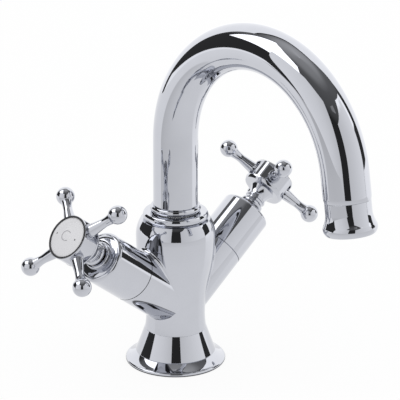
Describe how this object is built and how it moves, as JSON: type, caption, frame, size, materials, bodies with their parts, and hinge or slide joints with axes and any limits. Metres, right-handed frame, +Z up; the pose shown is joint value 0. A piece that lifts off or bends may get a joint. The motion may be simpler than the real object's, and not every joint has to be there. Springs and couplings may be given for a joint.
{
  "type": "basin mixer tap",
  "caption": "Deck-mounted basin mixer with a swivelling swan-neck spout, two slanted valve branches and cross handles that open ceramic disc valves",
  "frame": {"origin": "centre of the base ring's underside, on the axis that the spout turns about", "axes": "+Z up from the deck, -Y the way the spout points at rest, -X towards the cold valve and +X towards the hot one"},
  "size_m": [0.1772, 0.1661, 0.1986],
  "materials": {
    "polished_chrome": "mirror polished plating",
    "brass": "machined",
    "index_white": "satin",
    "alumina": "lapped",
    "black_rubber": "moulded",
    "sealing_fibre": "pressed fibre",
    "white_acetal": "moulded",
    "stainless": "turned"
  },
  "bodies": {
    "tap_body": {"body_casting": "polished_chrome", "base_ring": "polished_chrome", "base_gasket": "black_rubber", "spout_stop_screw": "stainless", "spout_glide_washer": "white_acetal", "cold_valve_shroud": "polished_chrome", "cold_valve_housing": "brass", "cold_flange_washer": "sealing_fibre", "cold_fixed_disc": "alumina", "cold_seat_seal": "black_rubber", "hot_valve_shroud": "polished_chrome", "hot_valve_housing": "brass", "hot_flange_washer": "sealing_fibre", "hot_fixed_disc": "alumina", "hot_seat_seal": "black_rubber"},
    "spout": {"spout_tube": "polished_chrome", "spout_stub": "polished_chrome", "spout_o_rings": "black_rubber", "outlet_ring": "polished_chrome", "aerator_housing": "polished_chrome", "aerator_former": "white_acetal", "aerator_mesh": "stainless", "aerator_washer": "black_rubber"},
    "cold_handle": {"cold_spindle": "brass", "cold_turning_disc": "alumina", "cold_spindle_o_rings": "black_rubber", "cold_spindle_clip": "stainless", "cold_handle_hub": "polished_chrome", "cold_arm_1": "polished_chrome", "cold_arm_2": "polished_chrome", "cold_arm_3": "polished_chrome", "cold_arm_4": "polished_chrome", "cold_index_disc": "index_white", "cold_handle_screw": "stainless"},
    "hot_handle": {"hot_spindle": "brass", "hot_turning_disc": "alumina", "hot_spindle_o_rings": "black_rubber", "hot_spindle_clip": "stainless", "hot_handle_hub": "polished_chrome", "hot_arm_1": "polished_chrome", "hot_arm_2": "polished_chrome", "hot_arm_3": "polished_chrome", "hot_arm_4": "polished_chrome", "hot_index_disc": "index_white", "hot_handle_screw": "stainless"}
  },
  "joints": [
    {"name": "spout_swivel", "type": "hinge", "parent": "tap_body", "child": "spout", "pos_m": [0, 0, 0.09], "axis": [0, 0, 1], "range_deg": [-60, 60]},
    {"name": "cold_quarter_turn", "type": "hinge", "parent": "tap_body", "child": "cold_handle", "pos_m": [0, 0, 0.0329], "axis": [-0.8007, 0, 0.599], "range_deg": [0, 90]},
    {"name": "hot_quarter_turn", "type": "hinge", "parent": "tap_body", "child": "hot_handle", "pos_m": [0, 0, 0.0329], "axis": [0.8007, 0, 0.599], "range_deg": [0, 90]}
  ]
}
